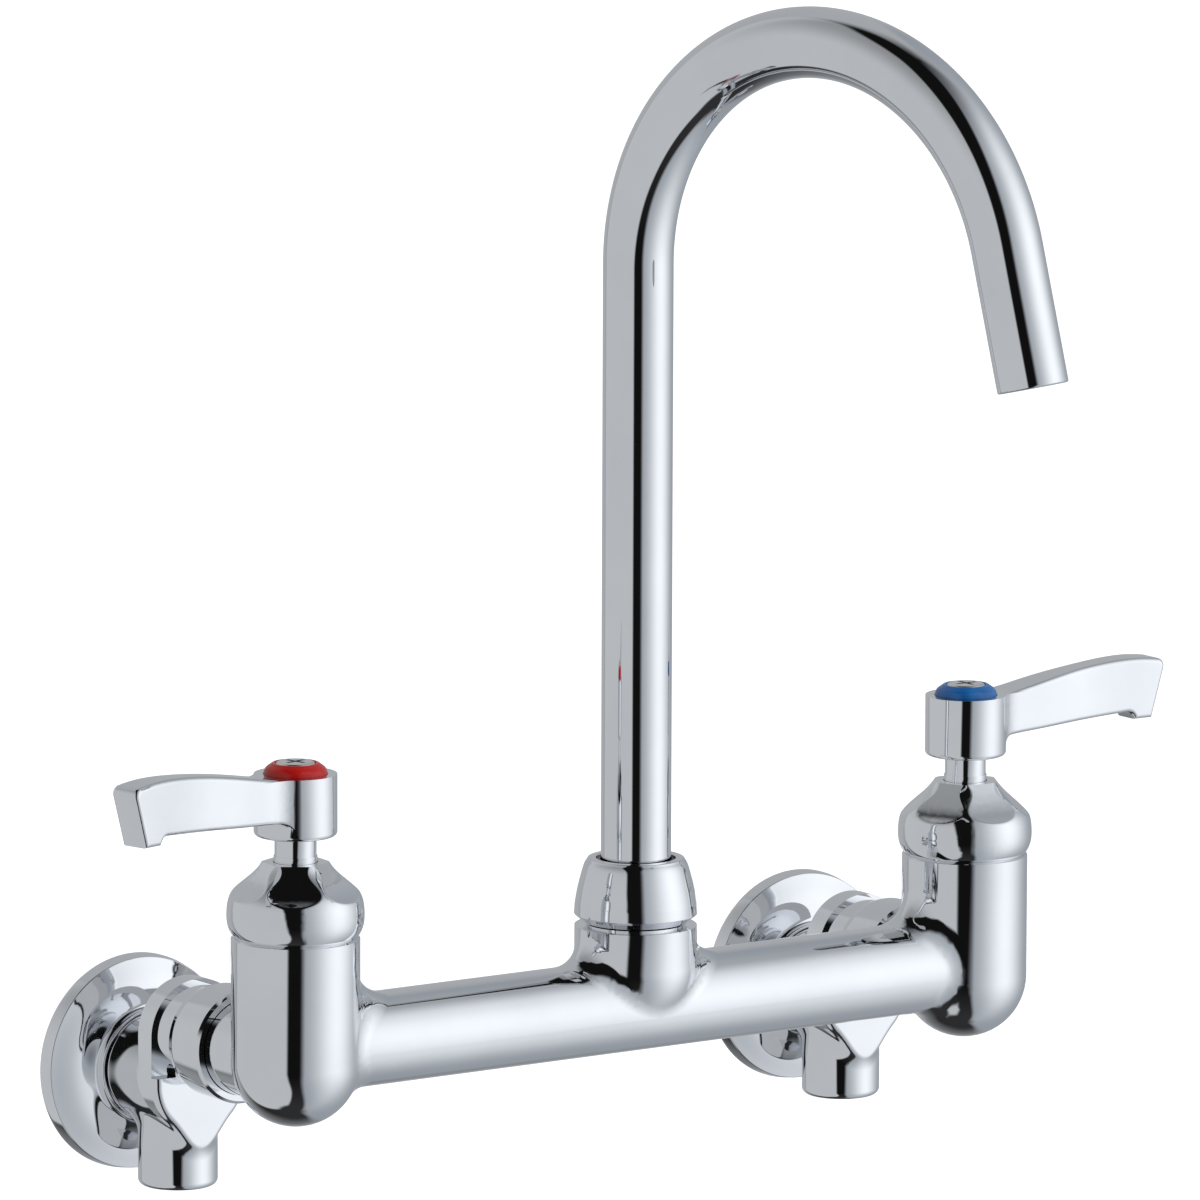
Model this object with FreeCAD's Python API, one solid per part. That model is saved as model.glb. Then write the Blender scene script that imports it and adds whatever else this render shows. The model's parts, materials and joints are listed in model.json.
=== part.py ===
import FreeCAD, Part
import math
import os

# Wall faucet with two quarter-turn valves, a swivelling gooseneck and two offset supply stops.
# Sizes are in millimetres. +X runs along the bar to the cold side, +Y into the wall and +Z up.
# The origin lies midway between the two supply inlets, on the wall.
# Heights and depths below are counted from the bar's axis unless a comment says otherwise.

# Layout
valve_spacing = 203.2
bar_rise = 15.2
tail_drop = 3.4

# Clearances
fit_gap = 0.05
running_gap = 0.08
end_gap = 0.1
face_gap = 0.3

# Body casting
bar_r = 11.56
bar_wall = 4.06
valve_r = 15.9
valve_top = 28.0
valve_fillet = 10.0
top_chamfer = 0.4
hub_r = 15.3
hub_top = 20.2
hub_sphere_z = 10.0
hub_fillet = 8.0
bar_bore_end = 16.0
socket_wall = 2.9
socket_depth = 11.0
ledge_width = 3.5
chamber_floor = 4.0
floor_thick = 2.2
lower_cavity_r = 9.0
lower_cavity_depth = 12.8
passage_r = 4.0
passage_rise = 6.0
passage_inner = 6.0
passage_outer = 20.0
passage_end_z = 1.5
tail_r = 12.0
tail_end = 28.0
tail_bore_r = 5.0
tail_fillet = 1.5

# Coupling between body and stop
nut_front = 22.5
nut_length = 13.6
nut_r = 14.3
nut_lip = 1.9
nut_edge = 0.7
nut_taper = 2.7
coupling_thread_r = 12.65
washer_thick = 1.5
tail_ring_wide = 1.4
tail_ring_depth = 1.4
tail_ring_split = 2.0

# Valve cartridge
seal_h = 1.6
seal_hole_r = 5.2
disc_h = 2.6
disc_port_r = 6.5
disc_port_inner_r = 2.0
disc_port_angle = 80.0
driver_h = 2.2
thrust_h = 0.6
skirt_wall = 0.95
gasket_h = 0.8
flange_h = 1.6
shoulder_r = 7.2
shoulder_top = 36.0
neck_r = 5.17
neck_taper = 2.0
neck_ring_step = 0.23
neck_ring_h = 1.6
window_wide = 8.0
window_h = 4.0
stem_r = 3.95
stem_bore_r = 2.1
stem_bore_depth = 13.0
stem_seal_z = 24.0
stem_seal_r = 0.5
spline_r = 3.8
spline_depth = 0.4
spline_teeth = 20
tongue_wide = 3.0
tongue_depth = 1.0

# Bonnet
bonnet_h = 18.6
bonnet_foot_r = 15.2
bonnet_foot_bulge = 1.5
bonnet_foot_rise = 2.9
bonnet_bulge_r = 16.95
bonnet_bulge_rise = 6.2
bonnet_shoulder_r = 16.0
bonnet_shoulder_rise = 10.6
bonnet_waist_r = 10.7
bonnet_waist_rise = 15.6
bonnet_top_r = 8.3
bonnet_wall = 2.2
bonnet_roof_rise = 12.4
flat_depth = 0.8
flat_count = 6
flat_low_rise = 9.0
flat_soft = 1.2
hot_bonnet_turn = -4.8
cold_bonnet_turn = 25.2
neck_hole_gap = 0.15

# Lever
lever_bottom = 53.1
lever_hub_h = 15.4
lever_hub_r = 10.27
lever_edge = 1.2
lever_recess = 1.9
lever_recess_r = 8.0
lever_web = 2.6
lever_web_hole_r = 2.7
lever_reach = 60.6
lever_tip_rise = 19.7
lever_tip_round = 2.1
lever_arch = 0.4
lever_crest_u = 43.5
lever_crest_rise = 20.3
lever_neck_rise = 1.9
lever_low_rise = 4.6
lever_hook_rise = 6.7
lever_hook_u = 49.6
lever_hook_lean = 1.2
lever_hook_wide = 5.4
lever_hook_drop = 2.1
lever_hook_round = 2.0
lever_root_angle = 45.0
lever_under_blend = 4.0
lever_half_neck = 4.6
lever_half_mid = 3.7
lever_half_tip = 4.3
lever_soft = 1.2
hot_lever_yaw = 12.8
cold_lever_yaw = 0.0

# Index ring and handle screw
index_r = 7.9
index_side_h = 2.1
index_mid_r = 7.35
index_top_r = 5.7
index_h = 4.6
index_seat_h = 3.0
index_hole_r = 2.8
screw_head_r = 4.9
screw_head_h = 1.9
screw_crown = 0.7
screw_shank_r = 2.05
screw_length = 15.0
cross_wide = 1.1
cross_long = 6.0
cross_deep = 1.1

# Spout
spout_azimuth = 14.1
tube_r = 8.76
tube_wall = 1.1
riser_top = 186.5
bend_r = 59.8
bend_angle = 165.65
tip_length = 34.4
tip_round = 0.5
tube_foot = 24.0
hub_bore_r = 10.5
hub_bore_floor = 6.0
hub_thread_r = 11.8
hub_thread_h = 9.8
spigot_bottom = 10.0
spigot_bore_r = 7.2
spout_flange_r = 11.4
spout_flange_h = 2.0
spout_washer_h = 0.8
spout_seal_r = 0.73
spout_seal_heights = (13.0, 18.0)
groove_slack = 0.4
nut_hole_r = 9.9
spout_nut_r = 15.4
spout_nut_foot_r = 12.5
spout_nut_gap = 0.5
spout_nut_bevel = 2.4
spout_nut_h = 17.1
spout_nut_mid_r = 14.5
spout_nut_top_r = 12.2
spout_nut_crown = 0.5
insert_h = 5.0
insert_recess = 2.0
insert_hole_r = 1.0
insert_pitch = 2.7

# Supply stop
boss_r = 13.6
nut_to_stop = 5.9
stop_thick = 8.0
face_recess = 2.0
recess_low = -13.5
stub_set_back = 11.0
stub_to_flange = 1.85
stub_r = 9.95
stub_bottom = -43.2
stub_round = 1.8
stub_fillet = 7.0
front_soft = 2.0
inlet_r = 9.3
inlet_depth = 13.2
feed_r = 3.8
stop_bore_r = 6.5
seat_rise = 3.9
seat_thick = 2.0
seat_room_r = 4.5
seat_room_h = 2.3
outlet_r = 3.3
outlet_low = -8.4
outlet_high = -4.4
outlet_set_back = 2.0
spud_bore_r = 6.0
spud_set_back = 3.5

# Stop spindle
stop_travel = 4.8
stop_shut_gap = 0.2
stop_washer_h = 2.0
stop_washer_r = 5.5
cup_h = 3.5
cup_r = 5.9
cup_socket_depth = 2.6
pin_r = 3.0
pin_length = 5.4
spindle_thread_h = 6.0
rod_r = 3.5
rod_length = 11.4
rod_seal_r = 0.5
rod_seal_rise = 1.6
slot_wide = 1.2
slot_deep = 1.5
gland_h = 6.8
gland_wall = 1.1
gland_recess = 0.4
gland_notch = 1.6

# Wall flange
flange_r = 27.2
flange_rim = 4.0
flange_bevel = 0.5
flange_dome = 2.9
flange_sheet = 1.2
flange_collar_h = 2.2
flange_collar_wall = 0.8
flange_gap = 0.15

valve_x = valve_spacing / 2
x_axis = FreeCAD.Vector(1, 0, 0)
y_axis = FreeCAD.Vector(0, 1, 0)
z_axis = FreeCAD.Vector(0, 0, 1)
centre = FreeCAD.Vector(0, 0, 0)
on_surface = 0.01

# Sizes that follow from the fits
socket_r = valve_r - socket_wall
chamber_r = socket_r - ledge_width
ledge_z = valve_top - socket_depth
disc_z = chamber_floor + seal_h
moving_disc_z = disc_z + disc_h + fit_gap
driver_z = moving_disc_z + disc_h
shoulder_z = driver_z + driver_h + thrust_h + end_gap
flange_z = ledge_z + gasket_h
flange_top = flange_z + flange_h
skirt_r = chamber_r - fit_gap
skirt_in = skirt_r - skirt_wall
bonnet_top = valve_top + bonnet_h
neck_top = lever_bottom - face_gap
lever_top = lever_bottom + lever_hub_h
recess_z = lever_top - lever_recess
web_z = recess_z - lever_web
stem_top = web_z - face_gap
thread_top = hub_top + hub_thread_h
spout_flange_z = thread_top + spout_washer_h + end_gap
thrust_washer_z = spout_flange_z + spout_flange_h
nut_lip_z = thrust_washer_z + spout_washer_h + end_gap
bar_bore_r = bar_r - bar_wall
tube_in = tube_r - tube_wall
flange_h_all = flange_rim + flange_dome + flange_collar_h
stop_front = nut_front + nut_length + nut_to_stop
stop_back = stop_front + stop_thick
stub_depth = stop_front + stub_set_back
wall_to_bar = stub_depth + stub_r + stub_to_flange + flange_h_all
inlet_z = -bar_rise
seat_z = inlet_z + seat_rise
washer_top = seat_z - stop_shut_gap - stop_travel
cup_top = washer_top - stop_washer_h
cup_bottom = cup_top - cup_h
pin_top = cup_bottom + cup_socket_depth - stop_shut_gap
thread_z = pin_top - pin_length
rod_top = thread_z - spindle_thread_h
rod_bottom = rod_top - rod_length
gland_r = stop_bore_r + gland_wall
gland_z = stub_bottom + gland_recess
spud_end = tail_end + washer_thick
tail_groove_y = nut_front + nut_lip


def vec(x, y, z):
    return FreeCAD.Vector(x, y, z)


# Closed wire in the XZ plane. A pair is a straight run, two pairs in a list are an arc through
# the first to the second, and a longer list is a smooth curve through all of them.
def outline(steps):
    edges = []
    here = steps[0]
    for step in steps[1:] + steps[:1]:
        stops = step if isinstance(step, list) else [step]
        points = [vec(r, 0, z) for r, z in [here] + stops]
        if len(points) == 2:
            edges.append(Part.LineSegment(points[0], points[1]).toShape())
        elif len(points) == 3:
            edges.append(Part.Arc(points[0], points[1], points[2]).toShape())
        else:
            curve = Part.BSplineCurve()
            curve.interpolate(points)
            edges.append(curve.toShape())
        here = stops[-1]
    return Part.Wire(edges)


# Solid of revolution about Z from an outline of (radius, height) steps.
def lathe(steps):
    return Part.Face(outline(steps)).revolve(centre, z_axis, 360)


def rod(r, z0, z1):
    return Part.makeCylinder(r, z1 - z0, vec(0, 0, z0))


def ring(r_out, r_in, z0, z1):
    return rod(r_out, z0, z1).cut(rod(r_in, z0, z1))


# Ring of round section about Z.
def seal_ring(r_mid, r_section, z):
    return Part.makeTorus(r_mid, r_section, vec(0, 0, z), z_axis)


# Box centred on the Z axis in X and Y.
def block(wide_x, wide_y, z0, z1):
    return Part.makeBox(wide_x, wide_y, z1 - z0, vec(-wide_x / 2, -wide_y / 2, z0))


# Turns a piece made along Z so that it runs along +Y, at the given height.
def along_y(shape, height):
    turned = shape.copy()
    turned.rotate(centre, x_axis, -90)
    turned.translate(vec(0, 0, height))
    return turned


def turned(shape, angle):
    copy = shape.copy()
    copy.rotate(centre, z_axis, angle)
    return copy


def moved(shape, x, y, z):
    copy = shape.copy()
    copy.translate(vec(x, y, z))
    return copy


def at_bar(shape):
    return moved(shape, 0, -wall_to_bar, bar_rise)


def at_valve(shape, side):
    return moved(shape, side * valve_x, -wall_to_bar, bar_rise)


# Toothed prism of the stem's broached end.
def broach(r, z0, z1):
    points = []
    for k in range(2 * spline_teeth):
        reach = r - spline_depth * (k % 2)
        angle = math.pi * k / spline_teeth
        points.append(vec(reach * math.cos(angle), reach * math.sin(angle), z0))
    return Part.Face(Part.makePolygon(points + points[:1])).extrude(vec(0, 0, z1 - z0))


def edge_points(edge):
    return edge.discretize(7)


# True for the edges that run round the bar within the given X span.
def rounds_bar(edge, x_low, x_high):
    if edge.Degenerated or edge.Curve.TypeId in ("Part::GeomLine", "Part::GeomCircle"):
        return False
    for p in edge_points(edge):
        if not x_low <= p.x <= x_high:
            return False
        if abs(math.hypot(p.y, p.z) - bar_r) > on_surface:
            return False
    return True


# True for the edges where a tail leaves the casting.
def rounds_tail(edge):
    if edge.Degenerated or edge.Curve.TypeId == "Part::GeomLine":
        return False
    for p in edge_points(edge):
        if abs(math.hypot(abs(p.x) - valve_x, p.z + tail_drop) - tail_r) > on_surface:
            return False
        if p.y > tail_end - washer_thick:
            return False
    return True


def body_casting():
    bar = Part.makeCylinder(bar_r, valve_spacing, vec(-valve_x, 0, 0), x_axis)
    hub = rod(hub_r, hub_sphere_z, hub_top).fuse(Part.makeSphere(hub_r, vec(0, 0, hub_sphere_z)))
    casting = bar.fuse(hub.removeSplitter()).removeSplitter()
    joins = [e for e in casting.Edges if rounds_bar(e, -hub_r - 1, hub_r + 1)]
    casting = casting.makeFillet(hub_fillet, joins)
    for side in (-1, 1):
        valve = rod(valve_r, -tail_drop, valve_top)
        valve = valve.makeChamfer(top_chamfer, [e for e in valve.Edges if e.BoundBox.ZMin > valve_top - 0.1])
        valve = valve.fuse(Part.makeSphere(valve_r, vec(0, 0, -tail_drop))).removeSplitter()
        casting = casting.fuse(moved(valve, side * valve_x, 0, 0)).removeSplitter()
        low = side * valve_x - valve_r - 1
        joins = [e for e in casting.Edges if rounds_bar(e, low, low + 2 * valve_r + 2)]
        casting = casting.makeFillet(valve_fillet, joins)
    for side in (-1, 1):
        casting = casting.fuse(moved(along_y(rod(tail_r, 0, tail_end), -tail_drop), side * valve_x, 0, 0))
    casting = casting.removeSplitter()
    casting = casting.makeFillet(tail_fillet, [e for e in casting.Edges if rounds_tail(e)])
    return casting.fuse(rod(hub_thread_r, hub_top - 1, thread_top)).removeSplitter()


# Everything that is bored out of the casting at one valve, in the valve's own frame.
def valve_cavity(side):
    bore = rod(chamber_r, chamber_floor, valve_top)
    socket = rod(socket_r, ledge_z, valve_top)
    low = rod(lower_cavity_r, chamber_floor - floor_thick - lower_cavity_depth, chamber_floor - floor_thick)
    seat = rod(seal_hole_r, chamber_floor - floor_thick, chamber_floor)
    tail = along_y(rod(tail_bore_r, 0, tail_end), -tail_drop)
    groove = along_y(ring(tail_r + 1, tail_r - tail_ring_depth, tail_groove_y,
                          tail_groove_y + tail_ring_wide + end_gap), -tail_drop)
    start = vec(-side * passage_inner, 0, chamber_floor + passage_rise)
    end = vec(-side * passage_outer, 0, passage_end_z)
    passage = Part.makeCylinder(passage_r, (end - start).Length, start, end - start)
    return [bore, socket, low, seat, tail, groove, passage]


def faucet_body():
    casting = body_casting()
    reach = valve_x - bar_bore_end
    casting = casting.cut(Part.makeCylinder(bar_bore_r, 2 * reach, vec(-reach, 0, 0), x_axis))
    casting = casting.cut(rod(hub_bore_r, hub_bore_floor, thread_top))
    for side in (-1, 1):
        for cavity in valve_cavity(side):
            casting = casting.cut(moved(cavity, side * valve_x, 0, 0))
    return casting


def cartridge_housing():
    ring_top = bonnet_top + neck_ring_h
    housing = lathe([
        (skirt_in, chamber_floor + end_gap), (skirt_r, chamber_floor + end_gap), (skirt_r, flange_z),
        (socket_r - 2 * fit_gap, flange_z), (socket_r - 2 * fit_gap, flange_top), (shoulder_r, flange_top),
        (shoulder_r, shoulder_top), (neck_r, shoulder_top + neck_taper), (neck_r, bonnet_top),
        (neck_r + neck_ring_step, bonnet_top), (neck_r + neck_ring_step, ring_top), (neck_r, ring_top),
        (neck_r, neck_top), (stem_r + running_gap, neck_top), (stem_r + running_gap, shoulder_z),
        (skirt_in, shoulder_z)])
    window = block(2 * chamber_r, window_wide, moving_disc_z + fit_gap, moving_disc_z + fit_gap + window_h)
    return housing.cut(window.cut(rod(skirt_in, moving_disc_z, moving_disc_z + 2 * window_h)))


def disc_ports(z0, z1):
    sector = Part.makeCylinder(disc_port_r, z1 - z0, vec(0, 0, z0), z_axis, disc_port_angle)
    port = turned(sector.cut(rod(disc_port_inner_r, z0, z1)), -disc_port_angle / 2)
    return [port, turned(port, 180)]


def fixed_disc():
    disc = rod(skirt_in - end_gap, disc_z, disc_z + disc_h)
    for port in disc_ports(disc_z, disc_z + disc_h):
        disc = disc.cut(port)
    return disc


# At rest the valve is shut, so this disc's ports lie square to the fixed disc's ports.
def moving_disc():
    disc = rod(skirt_in - 2 * end_gap, moving_disc_z, driver_z)
    slot = block(tongue_wide + 2 * fit_gap, 2 * skirt_r, driver_z - tongue_depth - fit_gap, driver_z)
    for port in disc_ports(moving_disc_z, driver_z):
        disc = disc.cut(turned(port, 90))
    return disc.cut(turned(slot, 90))


def stem():
    driver_r = skirt_in - 4 * end_gap
    groove_low = stem_seal_z - stem_seal_r - groove_slack / 2
    groove_high = stem_seal_z + stem_seal_r + groove_slack / 2
    groove_r = stem_r + running_gap - 2 * stem_seal_r - 2 * fit_gap
    shaft = rod(driver_r, driver_z, driver_z + driver_h).fuse(rod(stem_r, driver_z, lever_bottom))
    shaft = shaft.fuse(broach(spline_r, lever_bottom, stem_top)).removeSplitter()
    tongue = block(2 * driver_r, tongue_wide, driver_z - tongue_depth, driver_z).common(
        rod(driver_r, driver_z - tongue_depth, driver_z))
    shaft = shaft.fuse(tongue)
    shaft = shaft.cut(ring(stem_r + 1, groove_r, groove_low, groove_high))
    return shaft.cut(rod(stem_bore_r, stem_top - stem_bore_depth, stem_top))


def stem_seal():
    groove_r = stem_r + running_gap - 2 * stem_seal_r - 2 * fit_gap
    return seal_ring(groove_r + fit_gap + stem_seal_r, stem_seal_r, stem_seal_z)


# True for an edge round one of the bonnet's flats, and false for those of its rim and bore.
def rounds_flat(edge, low):
    curved = edge.Curve.TypeId == "Part::GeomBSplineCurve"
    return curved and edge.BoundBox.ZMin > low and edge.BoundBox.ZLength > 0.1


# Bell with a round bulge below and shallow hollow wrench flats round its waist.
def bonnet(turn):
    hole_r = neck_r + neck_ring_step + neck_hole_gap
    skirt = socket_r - fit_gap
    inner = skirt - bonnet_wall
    slope = inner - hole_r
    roof = valve_top + bonnet_roof_rise - slope / 2
    shell = lathe([
        (inner, flange_top), (skirt, flange_top), (skirt, valve_top), (bonnet_foot_r, valve_top),
        [(bonnet_foot_r + bonnet_foot_bulge, valve_top + bonnet_foot_rise),
         (bonnet_bulge_r, valve_top + bonnet_bulge_rise), (bonnet_shoulder_r, valve_top + bonnet_shoulder_rise),
         (bonnet_waist_r, valve_top + bonnet_waist_rise), (bonnet_top_r, bonnet_top)],
        (hole_r, bonnet_top), (hole_r, roof + slope), (inner, roof)])
    low = valve_top + flat_low_rise
    flat = Part.Face(outline([
        (bonnet_bulge_r + 1, low),
        [(bonnet_shoulder_r - flat_depth, valve_top + bonnet_shoulder_rise),
         (bonnet_waist_r - flat_depth, valve_top + bonnet_waist_rise), (bonnet_top_r - flat_depth, bonnet_top)],
        (bonnet_top_r - flat_depth, bonnet_top + 1), (bonnet_bulge_r + 1, bonnet_top + 1)]))
    flat = moved(flat.extrude(vec(0, 2 * bonnet_bulge_r, 0)), 0, -bonnet_bulge_r, 0)
    for k in range(flat_count):
        shell = shell.cut(turned(flat, turn + 360 * k / flat_count))
    ridges = [e for e in shell.Edges if rounds_flat(e, low)]
    return shell.makeFillet(flat_soft, ridges)


# Rounds an outline's corner: where the round starts, then its middle and its end.
def corner(before, at, after, r):
    here = vec(at[0], 0, at[1])
    back = (vec(before[0], 0, before[1]) - here).normalize()
    ahead = (vec(after[0], 0, after[1]) - here).normalize()
    half = math.acos(back.dot(ahead)) / 2
    start = here + back * (r / math.tan(half))
    end = here + ahead * (r / math.tan(half))
    middle = here + (back + ahead).normalize() * (r / math.sin(half) - r)
    return (start.x, start.z), [(middle.x, middle.z), (end.x, end.z)]


# Side of the lever's blade, pointing along +X from the hub's axis, with a hook under its end.
def blade_side():
    low = lever_bottom + lever_low_rise
    under = lever_bottom + lever_hook_rise
    hook_z = under - lever_hook_drop
    tip_z = lever_bottom + lever_tip_rise
    crest = (lever_crest_u, lever_bottom + lever_crest_rise)
    root = lever_hub_r * math.cos(math.radians(lever_root_angle))
    blend = lever_under_blend * (1 - math.cos(math.radians(45)))
    neck = (root + lever_under_blend, low)
    inner = (lever_hook_u, under)
    heel = (lever_hook_u + lever_hook_lean, hook_z)
    toe = (lever_hook_u + lever_hook_lean + lever_hook_wide, hook_z)
    tip = (lever_reach, tip_z)
    hook_start, hook_round = corner(neck, inner, heel, lever_hook_round)
    tip_start, tip_round_off = corner(toe, tip, crest, lever_tip_round)
    tip_end = tip_round_off[-1]
    return Part.Face(outline([
        (0, low - lever_under_blend), (root, low - lever_under_blend), [(root + blend, low - blend), neck],
        hook_start, hook_round, heel, toe, tip_start, tip_round_off,
        [((tip_end[0] + crest[0]) / 2, (tip_end[1] + crest[1]) / 2 + lever_arch), crest,
         (2 * lever_hub_r, lever_top + lever_neck_rise), (lever_hub_r, lever_top)],
        (0, lever_top)]))


def lever_blade():
    side = blade_side().extrude(vec(0, 4 * lever_hub_r, 0))
    side = moved(side, 0, -2 * lever_hub_r, 0)
    base = lever_bottom - lever_hook_drop
    across = math.sin(math.radians(lever_root_angle))
    along = math.cos(math.radians(lever_root_angle))
    edge = [(lever_hub_r * along, lever_hub_r * across), (2 * lever_hub_r, lever_half_neck),
            (lever_crest_u - lever_hub_r, lever_half_mid), (lever_reach + 1, lever_half_tip)]
    sides = []
    for flip in (-1, 1):
        curve = Part.BSplineCurve()
        curve.interpolate(Points=[vec(u, flip * w, base) for u, w in edge],
                          InitialTangent=vec(across, -flip * along, 0), FinalTangent=x_axis)
        sides.append(curve)
    front, back = sides
    tip = Part.LineSegment(front.EndPoint, back.EndPoint)
    root = Part.LineSegment(back.StartPoint, front.StartPoint)
    plan = Part.Face(Part.Wire([c.toShape() for c in (front, tip, back, root)]))
    blade = side.common(plan.extrude(vec(0, 0, 2 * lever_crest_rise)))
    soft = [e for e in blade.Edges if e.BoundBox.XMax > 2 * lever_hub_r and e.BoundBox.YLength < lever_half_tip]
    return blade.makeFillet(lever_soft, soft)


# The broached socket is cut after the turn, so that it stays in mesh with the stem's teeth.
def lever(turn):
    hub = rod(lever_hub_r, lever_bottom, lever_top)
    hub = hub.makeFillet(lever_edge, [e for e in hub.Edges if e.BoundBox.ZMax < lever_bottom + 0.1])
    handle = hub.fuse(lever_blade()).removeSplitter()
    handle = handle.cut(rod(lever_recess_r, recess_z, lever_top + 2 * lever_recess))
    handle = handle.cut(rod(lever_web_hole_r, web_z - 1, recess_z))
    return turned(handle, turn).cut(broach(spline_r + fit_gap, lever_bottom, web_z))


def index_ring():
    top = recess_z + index_h
    seat = recess_z + index_seat_h
    return lathe([
        (index_hole_r, recess_z), (index_r, recess_z), (index_r, recess_z + index_side_h),
        [(index_mid_r, (recess_z + index_side_h + top) / 2), (index_top_r, top)],
        (screw_head_r + end_gap, top), (screw_head_r + end_gap, seat), (index_hole_r, seat)])


def handle_screw():
    seat = recess_z + index_seat_h
    top = seat + screw_head_h
    screw = lathe([
        (0, seat - screw_length), (screw_shank_r, seat - screw_length), (screw_shank_r, seat), (screw_head_r, seat),
        (screw_head_r, top - screw_crown), [(0.93 * screw_head_r, top - 0.3 * screw_crown), (0.78 * screw_head_r, top)],
        (0, top)])
    for angle in (0, 90):
        screw = screw.cut(turned(block(cross_long, cross_wide, top - cross_deep, top), angle))
    return screw


def spout_tube(r, foot, tip):
    riser = rod(r, foot, riser_top)
    disc = Part.Face(Part.Wire(Part.makeCircle(r, vec(0, 0, riser_top))))
    bend = disc.revolve(vec(bend_r, 0, riser_top), y_axis, bend_angle)
    end, heading = bend_end()
    return riser.fuse(bend).fuse(Part.makeCylinder(r, tip, end, heading)).removeSplitter()


# Where the bend ends, and which way the tube points there.
def bend_end():
    angle = math.radians(bend_angle)
    end = vec(bend_r - bend_r * math.cos(angle), 0, riser_top + bend_r * math.sin(angle))
    return end, vec(math.sin(angle), 0, math.cos(angle))


def gooseneck_tube():
    outside = spout_tube(tube_r, tube_foot, tip_length)
    end, heading = bend_end()
    mouth = end + heading * tip_length
    rim = [e for e in outside.Edges if e.Curve.TypeId == "Part::GeomCircle" and (e.Curve.Center - mouth).Length < 0.1]
    outside = outside.makeFillet(tip_round, rim)
    return outside.cut(spout_tube(tube_in, tube_foot - 1, tip_length + 1))


# Perforated disc that steadies the stream, set back inside the tube's mouth.
def flow_straightener():
    end, heading = bend_end()
    base = end + heading * (tip_length - insert_recess - insert_h)
    insert = Part.makeCylinder(tube_in - fit_gap, insert_h, base, heading)
    across = y_axis.cross(heading)
    hole_limit = tube_in - fit_gap - 2 * insert_hole_r
    rows = int(hole_limit / insert_pitch) + 1
    for row in range(-rows, rows + 1):
        for column in range(-rows, rows + 1):
            side = insert_pitch * (column + 0.5 * (row % 2))
            rise = insert_pitch * row * math.sqrt(3) / 2
            if math.hypot(side, rise) < hole_limit:
                start = base + y_axis * side + across * rise
                insert = insert.cut(Part.makeCylinder(insert_hole_r, insert_h, start, heading))
    return insert


def spout_collar():
    spigot = hub_bore_r - running_gap
    flange = spout_flange_z
    collar = lathe([
        (spigot_bore_r, spigot_bottom), (spigot, spigot_bottom), (spigot, flange), (spout_flange_r, flange),
        (spout_flange_r, flange + spout_flange_h), (tube_r + fit_gap, flange + spout_flange_h),
        (tube_r + fit_gap, tube_foot), (spigot_bore_r, tube_foot)])
    for height in spout_seal_heights:
        half = spout_seal_r + groove_slack / 2
        collar = collar.cut(ring(hub_bore_r + 1, spout_groove_r(), height - half, height + half))
    return collar


def spout_groove_r():
    return hub_bore_r - running_gap - 2 * spout_seal_r - fit_gap


def spout_seal(height):
    return seal_ring(spout_groove_r() + fit_gap + spout_seal_r, spout_seal_r, height)


def spout_nut():
    foot = hub_top + spout_nut_gap
    widest = foot + spout_nut_bevel
    top = hub_top + spout_nut_h
    bore = hub_thread_r + fit_gap
    return lathe([
        (bore, foot), (spout_nut_foot_r, foot), (spout_nut_r, widest),
        [(spout_nut_r - 0.15, widest + 2.5), (spout_nut_mid_r, foot + 0.55 * (top - foot)),
         (spout_nut_top_r + 0.9, top - 2.2), (spout_nut_top_r, top - spout_nut_crown)],
        [(spout_nut_top_r - 0.25, top - 0.12), (spout_nut_top_r - 0.9, top)],
        (nut_hole_r, top), (nut_hole_r, nut_lip_z), (bore, nut_lip_z)])


def coupling_nut():
    back = nut_front + nut_length
    nut = lathe([
        (tail_r + neck_hole_gap, nut_front), (nut_r - nut_edge, nut_front), (nut_r, nut_front + nut_edge),
        (nut_r, back - nut_taper), (nut_r - nut_edge, back), (coupling_thread_r + fit_gap, back),
        (coupling_thread_r + fit_gap, nut_front + nut_lip), (tail_r + neck_hole_gap, nut_front + nut_lip)])
    return along_y(nut, -tail_drop)


# Split ring that the coupling nut pulls on, sprung into the tail's groove.
def tail_ring():
    hoop = ring(coupling_thread_r - fit_gap, tail_r - tail_ring_depth + fit_gap, tail_groove_y,
                tail_groove_y + tail_ring_wide)
    gap = block(tail_ring_split, 2 * tail_r, tail_groove_y, tail_groove_y + tail_ring_wide)
    return along_y(hoop.cut(moved(gap, 0, tail_r, 0)), -tail_drop)


def coupling_washer():
    return along_y(ring(tail_r - end_gap, spud_bore_r, tail_end, spud_end), -tail_drop)


# True for the lower edges of the stop body's front face.
def rounds_front(edge):
    if edge.Degenerated or edge.BoundBox.ZMax > inlet_z + 0.1:
        return False
    return max(abs(p.y - stop_front) for p in edge_points(edge)) < on_surface


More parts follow.
